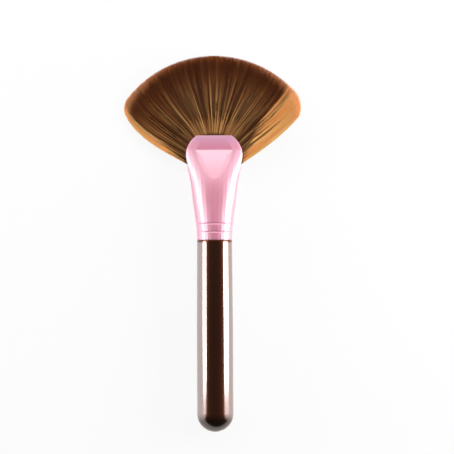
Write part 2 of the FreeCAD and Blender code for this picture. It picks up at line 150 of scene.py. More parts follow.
def bezier(begin, begin_lean, finish, finish_lean, fraction):
    """Points on curves between two points, whose ends lean from the brush's length."""
    pull = np.hypot(finish[0] - begin[0], finish[1] - begin[1]) / 3
    handles = (
        (begin[0] + np.sin(begin_lean) * pull, begin[1] + np.cos(begin_lean) * pull),
        (finish[0] - np.sin(finish_lean) * pull, finish[1] - np.cos(finish_lean) * pull),
    )
    rest = 1 - fraction
    weights = (rest ** 3, 3 * rest * rest * fraction, 3 * rest * fraction ** 2, fraction ** 3)
    stops = (begin, handles[0], handles[1], finish)
    return tuple(sum(w * stop[axis] for w, stop in zip(weights, stops)) for axis in (0, 1))


def flow(place, travel, extra=0.0):
    """Where the lines of hair run: (x, y) for each place across, -1 to 1, and each travel.

    travel is -1 at the roots, 0 where the hair leaves the ferrule and 1 at the tips.
    """
    out = np.abs(place)
    left = place < 0
    leave_lean = out * np.radians(np.where(left, LEFT["leave"], RIGHT["leave"]))
    tip_lean = out * np.radians(np.where(left, LEFT["tip"], RIGHT["tip"]))
    cut = np.where(left, LEFT["cut"], RIGHT["cut"])
    corner = np.where(left, LEFT["corner"], RIGHT["corner"])
    past = np.clip((out - corner) / (1 - corner), 0, None)
    reach = brush.fan_radius - cut * past ** 2 + extra
    leave = (out * LEAVE_HALF_WIDTH, -LEAVE_DROP * out ** 3)
    angle = out * FAN_HALF_ANGLE
    tip = (np.sin(angle) * reach, np.cos(angle) * reach - FAN_CENTRE_DROP)
    bound = (out * ROOT_HALF_WIDTH, np.full_like(out, -ROOT_DROP))
    inside = bezier(bound, 0.0, leave, leave_lean, np.clip(travel + 1, 0, 1))
    free = bezier(leave, leave_lean, tip, tip_lean, np.clip(travel, 0, 1))
    x, y = (np.where(travel < 0, within, beyond) for within, beyond in zip(inside, free))
    return np.where(left, -x, x), y


def half_thickness(place, x, y):
    """Half the fan's thickness there, as in its solid but with no locks."""
    reach = np.hypot(x, y + FAN_CENTRE_DROP)
    below = np.clip(-CREASE_DROP - y, 0, None)
    room = np.minimum(LIP_HALF_THICKNESS + below * FACET_SLOPE, ROOT_HALF_DEPTH)
    rise = smooth((reach - MOUTH_REACH) / (BELLY_REACH - MOUTH_REACH))
    swollen = LIP_HALF_THICKNESS + (BELLY_HALF_THICKNESS - LIP_HALF_THICKNESS) * rise
    fall = np.clip((reach - BELLY_REACH) / (brush.fan_radius - BELLY_REACH), 0, 1) ** TIP_FALL_POWER
    thinned = BELLY_HALF_THICKNESS - (BELLY_HALF_THICKNESS - TIP_HALF_THICKNESS) * fall
    held = (y < -FAN_CENTRE_DROP) | (reach < MOUTH_REACH)
    middle = np.where(held, room, np.where(fall > 0, thinned, swollen))
    return EDGE_HALF_THICKNESS + (middle - EDGE_HALF_THICKNESS) * (1 - place ** 2)


# Strands

# A strand is a tube with rings at the travels below. Hair gathers in locks, and in finer locks
# inside them, and is pushed aside at the partings.
TRAVEL = np.array([-0.16, 0.0, 0.13, 0.28, 0.44, 0.6, 0.76, 0.89, 1.0])
TAPER = np.array([0.8, 0.9, 1.0, 1.0, 1.0, 0.95, 0.85, 0.62, 0.22])
STRAND_RADIUS = 0.062 * MM
SIDES = 3
LOCKS = {"count": 46, "seed": 11}
FINE_LOCKS = {"count": 125, "seed": 23}
NARROWEST_LOCK = 0.35  # against a spread of 1 in the locks' widths
LOCK_PULL = (0.3, 0.5)  # the least pull towards a lock's middle, and how much more it may be
FINE_LOCK_PULL = (0.5, 0.5)
LOCK_ROUNDING = 0.3
LOCK_SINKING = 0.35
PARTING_PUSH = 0.6
ORDERLY = (0.88, 0.06)  # locks end from this far out, over this width
WANDER = 0.005  # how far a strand strays sideways, as a share of the fan's half
WANDER_TRAVEL = 0.8  # how far along it has strayed that much
LENGTH_SPREAD = 0.55 * MM  # about how much shorter than the fan's edge single hairs end
LENGTH_EXTRA = 0.1 * MM  # how much longer the longest hairs are

# How strongly something acts along a strand: begin, rise, end, fall, and the share lost by then
PARTED = (0.04, 0.3, 0.5, 0.42, 1.0)
GATHERED = (0.02, 0.3, 0.5, 0.4, 0.9)

# The map of a strand is one narrow column of the square
UV_COLUMNS = 512
CAP_INSET = 0.002
CAP_HEIGHT = 0.001


def along_strand(begin, rise, end, fall, loss):
    """A strength at each of a strand's rings, which comes in after begin and goes after end."""
    return smooth((TRAVEL - begin) / rise) * (1 - loss * smooth((TRAVEL - end) / fall))


def lock_of(place, count, seed):
    """For each place, the middle of its lock, its half width and three numbers of the lock's own."""
    dice = np.random.default_rng(seed)
    steps = NARROWEST_LOCK + dice.random(count)
    borders = np.concatenate([[0.0], np.cumsum(steps)]) / steps.sum() * 2 - 1
    which = np.clip(np.searchsorted(borders, place) - 1, 0, count - 1)
    middles = (borders[:-1] + borders[1:]) / 2
    halves = (borders[1:] - borders[:-1]) / 2
    own = dice.random((count, 3))
    return middles[which], halves[which], own[which]


def part_hair(lane):
    """Pushes strands aside from the partings, most in the middle of their length."""
    window = along_strand(*PARTED)
    for middle, half in PARTINGS:
        apart = lane - middle
        near = np.clip(1 - np.abs(apart) / half, 0, None)
        lane = lane + np.where(apart < 0, -1, 1) * near * half * PARTING_PUSH * window
    return lane


def strand_paths(place, depth):
    """Centre lines of strands, as arrays (strand, ring, xyz)."""
    count = len(place)
    travel = np.broadcast_to(TRAVEL, (count, len(TRAVEL)))
    middle, half, own = lock_of(place, **LOCKS)
    fine_middle, _, fine_own = lock_of(place, **FINE_LOCKS)
    gather = along_strand(*GATHERED)
    locked = 1 - smooth((np.abs(place) - ORDERLY[0]) / ORDERLY[1])[:, None]
    pull = (LOCK_PULL[0] + LOCK_PULL[1] * own[:, :1]) * gather * locked
    fine_pull = (FINE_LOCK_PULL[0] + FINE_LOCK_PULL[1] * fine_own[:, :1]) * gather * locked
    lane = place[:, None] + (middle - place)[:, None] * pull
    lane = lane + (fine_middle - place)[:, None] * fine_pull * (1 - pull)
    wander = RANDOM.normal(0, WANDER, (count, 1)) * smooth(TRAVEL / WANDER_TRAVEL)
    lane = np.clip(part_hair(lane + wander), -1.0, 1.0)
    extra = -np.abs(RANDOM.normal(0, LENGTH_SPREAD, (count, 1))) + LENGTH_EXTRA
    x, y = flow(lane, travel, extra)
    room = half_thickness(lane, x, y) - STRAND_RADIUS
    within = (place - middle) / half
    rounded = 1 - LOCK_ROUNDING * gather * (within ** 2)[:, None]
    sunk = 1 - LOCK_SINKING * gather * own[:, 1:2]
    z = depth[:, None] * room * rounded * sunk
    return brush.points(x, y, z)


def tubes(paths):
    """Closed three-sided tubes round centre lines: vertices, faces of the sides and of the ends."""
    count, rings = paths.shape[:2]
    ahead = np.gradient(paths, axis=1)
    ahead /= np.linalg.norm(ahead, axis=2, keepdims=True)
    side = np.cross(ahead, np.array(brush.normal))
    side /= np.linalg.norm(side, axis=2, keepdims=True)
    up = np.cross(side, ahead)
    turns = np.arange(SIDES) * 2 * math.pi / SIDES + math.pi / 2
    radius = (STRAND_RADIUS * TAPER)[None, :, None, None]
    circle = (side[:, :, None] * np.cos(turns)[None, None, :, None]
              + up[:, :, None] * np.sin(turns)[None, None, :, None])
    vertices = (paths[:, :, None] + circle * radius).reshape(-1, 3)
    ring, turn = np.meshgrid(np.arange(rings - 1), np.arange(SIDES), indexing="ij")
    after = (turn + 1) % SIDES
    here = ring * SIDES
    beyond = (ring + 1) * SIDES
    quad = np.stack([here + turn, here + after, beyond + after, beyond + turn], -1).reshape(-1, 4)
    start = np.arange(count)[:, None, None] * rings * SIDES
    quads = (start + quad[None]).reshape(-1, 4)
    root = start[:, 0] + np.arange(SIDES)[::-1][None]
    tip = start[:, 0] + (rings - 1) * SIDES + np.arange(SIDES)[None]
    return vertices, quads, np.concatenate([root, tip])


def strand_uv(place):
    """The map of each corner of each face: across by the strand's place, up by its travel."""
    count = len(place)
    column = np.floor((place + 1) / 2 * (UV_COLUMNS - 1))
    left = column / UV_COLUMNS
    right = (column + 1) / UV_COLUMNS
    rows = (TRAVEL - TRAVEL[0]) / (TRAVEL[-1] - TRAVEL[0])
    corners = np.empty((count, len(rows) - 1, SIDES, 4, 2))
    corners[..., 0, 0] = corners[..., 3, 0] = left[:, None, None]
    corners[..., 1, 0] = corners[..., 2, 0] = right[:, None, None]
    corners[..., 0, 1] = corners[..., 1, 1] = rows[None, :-1, None]
    corners[..., 2, 1] = corners[..., 3, 1] = rows[None, 1:, None]
    maps = [corners.reshape(-1, 2)]
    for row in (rows[0] + CAP_INSET, rows[-1] - CAP_INSET):
        cap = np.empty((count, SIDES, 2))
        for corner, (across, height) in enumerate(((left, 0), (right, 0), (left, CAP_HEIGHT))):
            cap[:, corner, 0] = across
            cap[:, corner, 1] = row + height
        maps.append(cap.reshape(-1, 2))
    return np.concatenate(maps)


# Pieces of hair

STRAND_DISORDER = 1.5  # against the space between two strands
CORE_ROWS = 26
CORE_COLUMNS = 61
CORE_END_TRAVEL = 0.93
CORE_HALF_WIDTH = 0.97  # as a share of the fan's half
CORE_INSET = 0.55 * MM
CORE_THINNEST = 0.12 * MM
SIDE_STRANDS = 3900
MIDDLE_STRANDS = 1900
EDGE_STRANDS = 900
# How much painted shade each piece carries: none on the strands, most of it on the dense core
STRAND_SHADE = 0.0
CORE_SHADE = 0.8
FRONT_DEPTHS = (0.45, 1.0)  # as shares of the fan's half thickness
BACK_DEPTHS = (0.5, 1.0)
MIDDLE_DEPTHS = (-0.7, 0.7)
OVERLAP = 0.05  # how far the left and the right front piece run over the middle
EDGE_PLACE = 0.93  # the edge strands stand farther out than this


def make_piece(name, vertices, faces, material, uv):
    """A mesh piece that rides on the brush."""
    mesh = bpy.data.meshes.new(name)
    mesh.from_pydata(vertices, [], faces)
    layer = mesh.uv_layers.new(name="OFBake")
    layer.data.foreach_set("uv", np.asarray(uv, np.float32).ravel())
    mesh.polygons.foreach_set("use_smooth", [True] * len(mesh.polygons))
    mesh.materials.append(material)
    mesh.update()
    piece = bpy.data.objects.new(name, mesh)
    bpy.context.scene.collection.objects.link(piece)
    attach(piece, "root")
    return piece


def make_strands(name, place, depth, material):
    """One piece of the hair, made of strands at the places and depths given."""
    vertices, quads, caps = tubes(strand_paths(place, depth))
    faces = quads.tolist() + caps.tolist()
    piece = make_piece(name, vertices.tolist(), faces, material, strand_uv(place))
    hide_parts("hair_fan")


def make_core(material):
    """The dense inside of the fan: one closed form, a little thinner and shorter than the hair."""
    travel = np.linspace(-1, CORE_END_TRAVEL, CORE_ROWS)
    place = np.sin(np.linspace(-1, 1, CORE_COLUMNS) * math.pi / 2) * CORE_HALF_WIDTH
    across, along = np.meshgrid(place, travel)
    x, y = flow(across, along)
    inner = np.maximum(half_thickness(across, x, y) - CORE_INSET, CORE_THINNEST)
    front = brush.points(x, y, inner)
    back = brush.points(x, y, -inner)
    vertices = np.concatenate([front.reshape(-1, 3), back.reshape(-1, 3)])
    offset = CORE_ROWS * CORE_COLUMNS
    faces = []
    uv = []

    def corner_uv(index):
        row, column = divmod(index % offset, CORE_COLUMNS)
        return ((place[column] + 1) / 2, min(max(travel[row], 0.0), 1.0))

    def add(*corners):
        faces.append(corners)
        uv.extend(corner_uv(corner) for corner in corners)

    for row in range(CORE_ROWS - 1):
        for column in range(CORE_COLUMNS - 1):
            low = row * CORE_COLUMNS + column
            high = low + CORE_COLUMNS
            add(low, low + 1, high + 1, high)
            add(offset + low, offset + high, offset + high + 1, offset + low + 1)
    for column in range(CORE_COLUMNS - 1):
        low = column
        high = (CORE_ROWS - 1) * CORE_COLUMNS + column
        add(low, offset + low, offset + low + 1, low + 1)
        add(high, high + 1, offset + high + 1, offset + high)
    for row in range(CORE_ROWS - 1):
        left = row * CORE_COLUMNS
        right = left + CORE_COLUMNS - 1
        add(left, left + CORE_COLUMNS, offset + left + CORE_COLUMNS, offset + left)
        add(right, offset + right, offset + right + CORE_COLUMNS, right + CORE_COLUMNS)
    piece = make_piece("hair_core", vertices.tolist(), faces, material, uv)
    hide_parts("hair_fan")


def even(count, low, high):
    """Places spread evenly with a little disorder."""
    spots = low + (high - low) * (np.arange(count) + 0.5) / count
    disorder = RANDOM.normal(0, (high - low) / count * STRAND_DISORDER, count)
    return np.clip(spots + disorder, -1, 1)


def make_hair():
    """The core, the strands of the front and the back, and those that fill the middle and edges."""
    strand = hair_material("brush_hair", STRAND_SHADE)
    # The core carries painted shade
    make_core(hair_material("brush_hair_core", CORE_SHADE))
    for name, low, high in (("hair_front_left", -1, OVERLAP), ("hair_front_right", -OVERLAP, 1)):
        places = even(SIDE_STRANDS, low, high)
        make_strands(name, places, RANDOM.uniform(*FRONT_DEPTHS, SIDE_STRANDS), strand)
    places = even(SIDE_STRANDS, -1, 1)
    make_strands("hair_back", places, -RANDOM.uniform(*BACK_DEPTHS, SIDE_STRANDS), strand)
    places = np.concatenate([even(MIDDLE_STRANDS, -1, 1),
                             even(EDGE_STRANDS, -1, -EDGE_PLACE),
                             even(EDGE_STRANDS, EDGE_PLACE, 1)])
    make_strands("hair_middle", places, RANDOM.uniform(*MIDDLE_DEPTHS, len(places)), strand)


# Materials

class Nodes:
    """A small helper that adds nodes to the tree of a new material or world."""

    def __init__(self, owner):
        owner.use_nodes = True
        self.owner = owner
        self.tree = owner.node_tree
        self.shader = self.tree.nodes.get("Principled BSDF")

    def add(self, kind, **settings):
        node = self.tree.nodes.new(kind)
        for key, value in settings.items():
            setattr(node, key, value)
        return node

    def put(self, socket, value):
        """Links an output to an input, or sets the input to a plain value."""
        if isinstance(value, bpy.types.NodeSocket):
            self.tree.links.new(value, socket)
        else:
            socket.default_value = value

    def math(self, operation, first, second=0.0):
        node = self.add("ShaderNodeMath", operation=operation)
        self.put(node.inputs[0], first)
        self.put(node.inputs[1], second)
        return node.outputs[0]

    def chain(self, operation, values):
        """The same operation on each value in turn."""
        result = values[0]
        for value in values[1:]:
            result = self.math(operation, result, value)
        return result

    def plus(self, *values):
        return self.chain("ADD", values)

    def minus(self, *values):
        return self.chain("SUBTRACT", values)

    def times(self, *values):
        return self.chain("MULTIPLY", values)

    def blend(self, values, shares):
        """The sum of a share of each value."""
        return self.plus(*(self.times(*pair) for pair in zip(values, shares)))

    def limit(self, value):
        """The value, kept between 0 and 1."""
        return self.math("MAXIMUM", self.math("MINIMUM", value, 1.0), 0.0)

    def ramp(self, value, low, high, to_low=0.0, to_high=1.0):
        """A smooth change from to_low, where value is low, to to_high, where it is high."""
        node = self.add("ShaderNodeMapRange", interpolation_type="SMOOTHSTEP")
        for socket, number in zip(node.inputs, (value, low, high, to_low, to_high)):
            self.put(socket, number)
        return node.outputs[0]

    def mix(self, factor, first, second):
        """A blend of two colours."""
        node = self.add("ShaderNodeMix", data_type="RGBA")
        self.put(node.inputs["Factor"], factor)
        self.put(node.inputs[6], first)
        self.put(node.inputs[7], second)
        return node.outputs[2]

    def noise(self, vector, scale, detail=2.0, roughness=0.5):
        node = self.add("ShaderNodeTexNoise")
        self.put(node.inputs["Vector"], vector)
        node.inputs["Scale"].default_value = scale
        node.inputs["Detail"].default_value = detail
        node.inputs["Roughness"].default_value = roughness
        return node.outputs["Fac"]

    def vector(self, operation, first, second):
        node = self.add("ShaderNodeVectorMath", operation=operation)
        self.put(node.inputs[0], first)
        self.put(node.inputs[1], second)
        return node.outputs["Value" if operation == "DOT_PRODUCT" else "Vector"]

    def combine(self, x, y):
        node = self.add("ShaderNodeCombineXYZ")
        self.put(node.inputs[0], x)
        self.put(node.inputs[1], y)
        return node.outputs[0]

    def split(self, vector):
        """The three parts of a vector."""
        node = self.add("ShaderNodeSeparateXYZ")
        self.put(node.inputs[0], vector)
        return node.outputs

    def place(self, along=1.0):
        """The point on the brush, in metres, with its length multiplied by along."""
        spot = self.add("ShaderNodeTexCoord").outputs["Object"]
        return self.vector("MULTIPLY", spot, (1.0, along, 1.0))

    def bump(self, height, distance, strength, normal=None):
        node = self.add("ShaderNodeBump")
        if normal is not None:
            self.put(node.inputs["Normal"], normal)
        self.put(node.inputs["Height"], height)
        node.inputs["Distance"].default_value = distance
        node.inputs["Strength"].default_value = strength
        self.put(self.shader.inputs["Normal"], node.outputs[0])

    def set(self, **values):
        """Sets the shader's own inputs, with a double underscore for a space."""
        for key, value in values.items():
            self.put(self.shader.inputs[key.replace("__", " ")], value)


# The hair's colours
HAIR_DARK = linear(74, 29, 6)
HAIR_MID = linear(150, 83, 36)
HAIR_LIGHT = linear(246, 188, 118)
# Painted backlight: the gold and amber of the wedge on the right and the strip on the left
HAIR_BACKLIT_GOLD = linear(255, 214, 142)
HAIR_BACKLIT_AMBER = linear(255, 168, 88)
HAIR_SALMON = linear(255, 184, 124)
HAIR_RUST = linear(176, 88, 34)
HAIR_SHADE = linear(34, 14, 4)

# Streaks: about how many, how much they shift along the hair, and where a streak begins and is full
COARSE_STREAKS = (23.0, 0.6, 0.42, 0.6)
BROAD_STREAKS = (52.0, 0.8, 0.42, 0.58)
FINE_STREAKS = (130.0, 1.1, 0.42, 0.58)
THIN_STREAKS = (250.0, 0.9, 0.5, 0.62)

# How the streaks and the strand's own tone make up the brown
BAND_SHARES = (0.4, 0.35, 0.25)  # of the fine, the broad and the coarse streaks
WARM_SHARES = (0.35, 0.6)  # of the strand's own tone and of the streaks
LIGHT_POWER = 1.5
LIGHT_LEAST = 0.55
LIGHT_OWN = 0.95
THIN_STRENGTH = 0.25

# Changes along the hair: two heights on the map, where 0.14 is where the hair leaves the ferrule and
# 1 is the tips, and the value at each
LIGHT_STREAKS_FADE = (0.9, 0.2, 0.03, 1.0)
TIPS_DARKEN = (0.95, 0.45, 0.3, 1.0)
BACKLIT_WEDGE_BORDER = (0.14, 0.6, 0.93, 0.74)  # the painted backlit wedge lies to the right of this place
BACKLIT_STRIP_BORDER = (0.14, 0.55, -0.99, -0.93)  # the painted backlit strip lies to the left of this place
# Painted shadow on the roots, inside the ferrule and just above its rim
ROOT_SHADOW = (0.185, 0.14, 0.0, 0.8)
DUSK_ALONG = (0.5, 0.18)
DUSK_ACROSS = (0.4, 0.75)
DUSK_STRENGTH = 0.55
BORDER_STRAY = 0.09  # how far single hairs stray over a border of colour
BACKLIT_STRIP_STRAY = 0.6  # how much of that they do at the strip's border
BACKLIT_WEDGE_BLUR = 0.02
BACKLIT_STRIP_BLUR = 0.012
RIM_START = 0.955
RIM_WIDENING = 0.1  # how much earlier the rim starts at the fan's two sides
RIM_STRENGTH = 0.9


def hair_material(name, shade):
    """Hair whose colour depends on where the strand stands and how far along it the point is, with
    painted backlight and painted shade.
    """
    n = Nodes(bpy.data.materials.new(name))
    column, travel, _ = n.split(n.add("ShaderNodeUVMap", uv_map="OFBake").outputs[0])
    place = n.minus(n.times(column, 2.0), 1.0)
    dice = n.add("ShaderNodeTexWhiteNoise", noise_dimensions="1D")
    n.put(dice.inputs["W"], n.math("FLOOR", n.times(column, float(UV_COLUMNS))))
    tone = dice.outputs["Value"]

    def streaks(count, drift, low, high):
        """Bands that run with the hair."""
        spot = n.combine(n.times(column, count), n.times(travel, drift))
        return n.ramp(n.noise(spot, scale=1.0, detail=1.0), low, high)

    # Brown hair with lighter streaks, dark towards the tips
    coarse, broad, fine = (streaks(*kind) for kind in (COARSE_STREAKS, BROAD_STREAKS, FINE_STREAKS))
    band = n.blend((fine, broad, coarse), BAND_SHARES)
    warmth = n.times(n.blend((tone, band), WARM_SHARES), n.ramp(travel, *TIPS_DARKEN))
    strength = n.plus(n.times(tone, LIGHT_OWN), LIGHT_LEAST)
    peaks = n.math("POWER", band, LIGHT_POWER)
    bright = n.times(peaks, strength, n.ramp(travel, *LIGHT_STREAKS_FADE))
    brown = n.mix(bright, n.mix(warmth, HAIR_DARK, HAIR_MID), HAIR_LIGHT)

    # Painted backlight, in gold, on the hair in a wedge on the right and a strip on the left
    backlit_gold = n.mix(n.times(n.plus(fine, tone), 0.5), HAIR_BACKLIT_AMBER, HAIR_BACKLIT_GOLD)
    backlit_gold = n.mix(n.times(streaks(*THIN_STREAKS), THIN_STRENGTH), backlit_gold, HAIR_MID)
    stray = n.times(n.minus(tone, 0.5), BORDER_STRAY)
    backlit_wedge_edge = n.plus(n.ramp(travel, *BACKLIT_WEDGE_BORDER), stray)
    backlit_strip_edge = n.plus(n.ramp(travel, *BACKLIT_STRIP_BORDER), n.times(stray, BACKLIT_STRIP_STRAY))
    right = n.ramp(n.minus(place, backlit_wedge_edge), -BACKLIT_WEDGE_BLUR, BACKLIT_WEDGE_BLUR)
    left = n.ramp(n.minus(place, backlit_strip_edge), BACKLIT_STRIP_BLUR, -BACKLIT_STRIP_BLUR)
    side = n.math("MAXIMUM", right, left)

    # A reddish rim at the tips, paler at the two sides
    out = n.times(place, place)
    rim_start = n.minus(RIM_START, n.times(out, RIM_WIDENING), stray)
    rim = n.limit(n.math("DIVIDE", n.minus(travel, rim_start), n.minus(1.0, rim_start)))
    rusty = n.mix(n.times(rim, RIM_STRENGTH), brown, n.mix(out, HAIR_RUST, HAIR_SALMON))
    # The painted backlight takes the place of the brown in the wedge and the strip
    colour = n.mix(side, rusty, n.mix(rim, backlit_gold, HAIR_SALMON))

    # Painted shade beside the ferrule, and a painted shadow inside it and just above its rim
    across = n.ramp(n.math("ABSOLUTE", place), *DUSK_ACROSS)
    dusk = n.times(n.ramp(travel, *DUSK_ALONG), across, n.minus(1.0, side), DUSK_STRENGTH)
    colour = n.mix(dusk, colour, HAIR_SHADE)
    # Painted shadow in and at the ferrule's mouth, together with the painted shade that a piece
    # carries
    hidden = n.math("MAXIMUM", n.ramp(travel, *ROOT_SHADOW), shade)
    n.set(Base__Color=n.mix(hidden, colour, HAIR_SHADE), Roughness=0.5, Specular__IOR__Level=0.12)
    return n.owner


# The handle's colours
LACQUER = linear(104, 46, 14)
LACQUER_FLAKE = linear(128, 64, 26)
LACQUER_CLOUD = linear(84, 36, 14)
# Painted shade for the handle's round end
LACQUER_END_SHADE = linear(34, 24, 14)
LACQUER_SHEEN = linear(240, 224, 204)
WOOD_DARK = linear(176, 136, 92)
WOOD_LIGHT = linear(214, 178, 132)

# The handle's finish, with distances over its end and under the ferrule's foot
FLAKE_SHARE = 0.6
LACQUER_CLOUD_SHARE = 0.35
LACQUER_METALLIC = 0.85
LACQUER_ROUGHNESS = (0.3, 0.37)
CLOUD_SPAN = (0.3, 0.7)  # the values between which a cloud has its full effect
# Painted shade, darkening the lacquer towards the handle's round end
END_SHADE_BEGINS = 8.0 * MM
END_SHADE_ENDS = 4.0 * MM
END_SHADE_STRENGTH = 0.8
END_COAT_BEGINS = 4.0 * MM
END_COAT_ENDS = 8.5 * MM
END_COAT = 0.25
FOOT_COAT_BEGINS = 1.5 * MM
FOOT_COAT_ENDS = 0.6 * MM
FOOT_COAT = 0.1
WOOD_INSET = 0.1 * MM  # how far inside the ferrule's foot the bare wood begins


def lacquer_material():
    """Deep brown pearl lacquer under a clear gloss coat, and bare wood where the ferrule hides it."""
    n = Nodes(bpy.data.materials.new("lacquered_wood"))
    flake = n.noise(n.place(), scale=2600.0, roughness=0.7)
    cloud = n.noise(n.place(along=0.25), scale=90.0, detail=3.0)
    deep = n.mix(n.times(flake, FLAKE_SHARE), LACQUER, LACQUER_FLAKE)
    deep = n.mix(n.times(cloud, LACQUER_CLOUD_SHARE), deep, LACQUER_CLOUD)
    along = n.split(n.place())[1]
    # Painted shade, darker towards the handle's round end
    painted_end_shade = n.ramp(along, brush.end_y + END_SHADE_BEGINS, brush.end_y + END_SHADE_ENDS, 0.0, END_SHADE_STRENGTH)
    deep = n.mix(painted_end_shade, deep, LACQUER_END_SHADE)
    grain = n.noise(n.place(along=0.06), scale=1800.0, detail=3.0)
    wood = n.mix(grain, WOOD_DARK, WOOD_LIGHT)
    hidden = n.math("GREATER_THAN", along, brush.foot_y + WOOD_INSET)
    n.set(Base__Color=n.mix(hidden, deep, wood))
    n.set(Metallic=n.times(n.minus(1.0, hidden), LACQUER_METALLIC))
    n.set(Roughness=n.ramp(cloud, *CLOUD_SPAN, *LACQUER_ROUGHNESS))
    # The clear coat is thin beside the ferrule and on the dome
    foot_coat = n.ramp(along, brush.foot_y - FOOT_COAT_BEGINS, brush.foot_y - FOOT_COAT_ENDS,
                       1.0, FOOT_COAT)
    dome_coat = n.ramp(along, brush.end_y + END_COAT_BEGINS, brush.end_y + END_COAT_ENDS,
                       END_COAT, 1.0)
    n.set(Coat__Weight=n.times(foot_coat, dome_coat), Coat__Roughness=0.11, Coat__IOR=4.0)
    n.set(Sheen__Weight=1.0, Sheen__Roughness=0.3, Sheen__Tint=LACQUER_SHEEN)
    ripple = n.noise(n.place(along=0.4), scale=260.0)
    n.bump(ripple, distance=0.02 * MM, strength=0.25)
    return n.owner


# The ferrule's colours with its painted light and shade, and its facet as the press left it
PINK = linear(226, 106, 148)
PINK_GRAIN = linear(220, 98, 141)
PINK_CLOUD = linear(218, 102, 151)
# Painted light at the top of the facet
PINK_PAINTED_LIGHT = linear(238, 158, 184)
# Painted shade towards the facet's lower end and below it
PINK_PAINTED_SHADE = linear(206, 62, 112)
# Painted shade in the band beside the facet
PINK_FOLD_SHADE = linear(202, 68, 120)
LILAC = linear(224, 160, 198)
SHEET_ROUNDING = 0.9 * MM  # how softly the pressed sheet turns at its edges
FACET_END = 18.9 * MM  # how far below the rim the flat facet ends
FACET_HALF_WIDTH = 7.8 * MM
GRAIN_SHARE = 0.5
PINK_CLOUD_SHARE = 0.3
GRAIN_SPAN = (0.2, 0.8)  # the values between which the grain has its full effect
PINK_ROUGHNESS = (0.44, 0.52)

# Changes along the ferrule: two heights over its rim, and the value at each
FACET_BEGINS = (-CREASE_DROP, -CREASE_DROP - 0.2 * MM, 0.0, 1.0)
# Painted light, paler towards the top of the facet
FACET_PAINTED_LIGHT = (-FACET_END, -CREASE_DROP, 0.0, 0.6)
# Painted shade, deeper towards the facet's lower end and below it, easing off towards the foot
SHADE_BELOW_FACET = (-CREASE_DROP - 3.0 * MM, -FACET_END - 1.5 * MM, 0.0, 0.7)
FOOT_EASES = (-38.0 * MM, -26.0 * MM, 0.1, 1.0)
LIP_TURNS_LILAC = (-5.0 * MM, -0.6 * MM, 0.0, 0.6)

# The painted shade in a band beside the facet: distances beyond its border, and how it fades at the
# lower end
BORDER_POWER = 0.5
BAND_BEGINS = (-0.2 * MM, 0.6 * MM)
BAND_ENDS = (2.4 * MM, 1.0 * MM)
BAND_FADES = (0.0, 0.15, 0.0, 0.7)


def ferrule_material():
    """Pink anodised aluminium with the fine satin grain of a drawn tube."""
    n = Nodes(bpy.data.materials.new("pink_metal"))
    grain = n.noise(n.place(along=0.05), scale=5200.0, detail=3.0, roughness=0.6)
    cloud = n.noise(n.place(), scale=60.0)
    tint = n.mix(n.times(grain, GRAIN_SHARE), PINK, PINK_GRAIN)
    tint = n.mix(n.times(cloud, PINK_CLOUD_SHARE), tint, PINK_CLOUD)
    spot = n.vector("SUBTRACT", n.place(), brush.point(0, 0, 0))
    away = n.math("ABSOLUTE", n.vector("DOT_PRODUCT", spot, brush.across))
    above = n.split(spot)[1]

    # Painted light, paler at the top of the facet; painted shade, deeper towards its lower end and
    # below; and lilac at the lip
    facet = n.ramp(above, *FACET_BEGINS)
    painted_facet_light = n.times(n.ramp(above, *FACET_PAINTED_LIGHT), facet)
    tint = n.mix(painted_facet_light, tint, PINK_PAINTED_LIGHT)
    painted_shade_below = n.times(n.ramp(above, *SHADE_BELOW_FACET), n.ramp(above, *FOOT_EASES))
    tint = n.mix(painted_shade_below, tint, PINK_PAINTED_SHADE)
    tint = n.mix(n.ramp(above, *LIP_TURNS_LILAC), tint, LILAC)

    # Painted shade in a band on both sides of the facet, which narrows towards its lower end
    share = n.limit(n.math("DIVIDE", n.plus(above, FACET_END), FACET_END - CREASE_DROP))
    border = n.times(n.math("POWER", share, BORDER_POWER), FACET_HALF_WIDTH)
    beyond = n.minus(away, border)
    band = n.times(n.ramp(beyond, *BAND_BEGINS), n.ramp(beyond, *BAND_ENDS))
    painted_fold_shade = n.times(band, facet, n.ramp(share, *BAND_FADES))
    n.set(Base__Color=n.mix(painted_fold_shade, tint, PINK_FOLD_SHADE))
    n.set(Metallic=0.1, Roughness=n.ramp(grain, *GRAIN_SPAN, *PINK_ROUGHNESS))
    n.set(IOR=2.0, Specular__IOR__Level=0.6, Sheen__Weight=1.0, Sheen__Roughness=0.35)
    n.set(Coat__Weight=1.0, Coat__Roughness=0.5, Coat__IOR=2.8)
    rounded = n.add("ShaderNodeBevel", samples=8)
    rounded.inputs["Radius"].default_value = SHEET_ROUNDING
    n.bump(grain, distance=0.004 * MM, strength=0.3, normal=rounded.outputs[0])
    return n.owner


# The resin's colours and finish
RESIN_AMBER = linear(196, 150, 84)
RESIN_PALE = linear(226, 190, 128)
RESIN_ROUGHNESS = (0.12, 0.25)


def resin_material():
    """Amber casting resin with a few clouds."""
    n = Nodes(bpy.data.materials.new("clear_resin"))
    cloud = n.noise(n.place(), scale=500.0, detail=3.0)
    n.set(Base__Color=n.mix(cloud, RESIN_AMBER, RESIN_PALE))
    n.set(Roughness=n.ramp(cloud, *CLOUD_SPAN, *RESIN_ROUGHNESS))
    return n.owner


def dress(node, material):
    """Gives a frame node its finish."""
    for slot in frame["nodes"][node].material_slots:
        slot.material = material


# Stage

